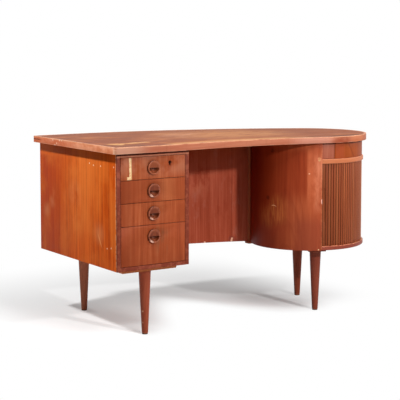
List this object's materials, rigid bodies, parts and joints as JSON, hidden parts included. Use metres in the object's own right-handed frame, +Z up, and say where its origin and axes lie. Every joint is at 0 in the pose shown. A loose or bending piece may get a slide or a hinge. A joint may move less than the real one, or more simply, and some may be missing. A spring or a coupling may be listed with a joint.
{
  "type": "tambour desk",
  "caption": "Kidney-shaped teak writing desk with a pedestal of drawers on the left, an open kneehole and a round tambour cabinet on the right, on turned tapered legs.",
  "frame": {"origin": "on the floor, under the centre of the worktop's overall plan", "axes": "+X to the sitter's right along the desk's length, +Y away from the sitter, +Z up"},
  "size_m": [1.288, 0.727, 0.725],
  "materials": {
    "teak_top": "worn oiled veneer, grain along X",
    "teak_edge": "worn oiled solid wood",
    "teak_panel": "oiled veneer, grain upright",
    "teak_front": "oiled veneer, grain upright",
    "teak_dark": "oiled solid wood, dark",
    "teak_leg": "oiled turned wood",
    "teak_tambour": "oiled slats",
    "beech": "bare wood",
    "canvas": "woven canvas, glued",
    "brass": "dull brass",
    "steel": "zinc-plated steel",
    "felt": "hard nylon glide"
  },
  "bodies": {
    "carcass": {"worktop_core": "teak_top", "worktop_lipping": "teak_edge", "left_side_panel": "teak_panel", "inner_side_panel": "teak_panel", "side_front_lippings": "teak_dark", "pedestal_top_board": "teak_dark", "pedestal_bottom_board": "teak_dark", "modesty_panel": "teak_front", "drawer_runners": "beech", "bookcase_bottom": "teak_front", "left_divider": "teak_front", "right_divider": "teak_front", "bookcase_shelves": "teak_front", "bookcase_end_post": "teak_dark", "knee_curved_panel": "teak_front", "rear_curved_panel": "teak_front", "junction_bead": "teak_dark", "drum_base_board": "teak_dark", "base_nosing": "teak_dark", "track_board": "teak_dark", "ring_rail": "teak_edge", "front_fascia": "teak_front", "side_fascia": "teak_front", "crown_board": "beech", "drum_liner": "teak_dark", "drum_shelf": "teak_front", "shelf_pins": "brass", "tambour_stops": "beech", "panel_plugs": "beech", "pedestal_leg_battens": "teak_dark", "drum_leg_batten": "teak_dark", "front_left_leg": "teak_leg", "rear_left_leg": "teak_leg", "front_right_leg": "teak_leg", "rear_right_leg": "teak_leg", "hanger_bolts": "steel", "leg_glides": "felt", "wood_screws": "steel"},
    "drawer_1": {"drawer_1_front": "teak_front", "drawer_1_box": "beech", "drawer_1_bottom": "beech", "drawer_1_pull": "teak_dark", "lock_case": "brass"},
    "drawer_2": {"drawer_2_front": "teak_front", "drawer_2_box": "beech", "drawer_2_bottom": "beech", "drawer_2_pull": "teak_dark"},
    "drawer_3": {"drawer_3_front": "teak_front", "drawer_3_box": "beech", "drawer_3_bottom": "beech", "drawer_3_pull": "teak_dark"},
    "drawer_4": {"drawer_4_front": "teak_front", "drawer_4_box": "beech", "drawer_4_bottom": "beech", "drawer_4_pull": "teak_dark"},
    "tambour": {"tambour_lead_stile": "teak_tambour", "tambour_slats": "teak_tambour", "tambour_canvas": "canvas"},
    "bolt": {"lock_bolt": "steel"}
  },
  "joints": [
    {"name": "drawer_1_slide", "type": "slide", "parent": "carcass", "child": "drawer_1", "axis": [0, -1, 0], "range_m": [0, 0.33]},
    {"name": "drawer_2_slide", "type": "slide", "parent": "carcass", "child": "drawer_2", "axis": [0, -1, 0], "range_m": [0, 0.33]},
    {"name": "drawer_3_slide", "type": "slide", "parent": "carcass", "child": "drawer_3", "axis": [0, -1, 0], "range_m": [0, 0.33]},
    {"name": "drawer_4_slide", "type": "slide", "parent": "carcass", "child": "drawer_4", "axis": [0, -1, 0], "range_m": [0, 0.33]},
    {"name": "tambour_run", "type": "hinge", "parent": "carcass", "child": "tambour", "pos_m": [0.396, -0.1155, 0.44], "axis": [0, 0, 1], "range_deg": [0, 130]},
    {"name": "bolt_slide", "type": "slide", "parent": "drawer_1", "child": "bolt", "axis": [0, 0, 1], "range_m": [0, 0.007]}
  ]
}
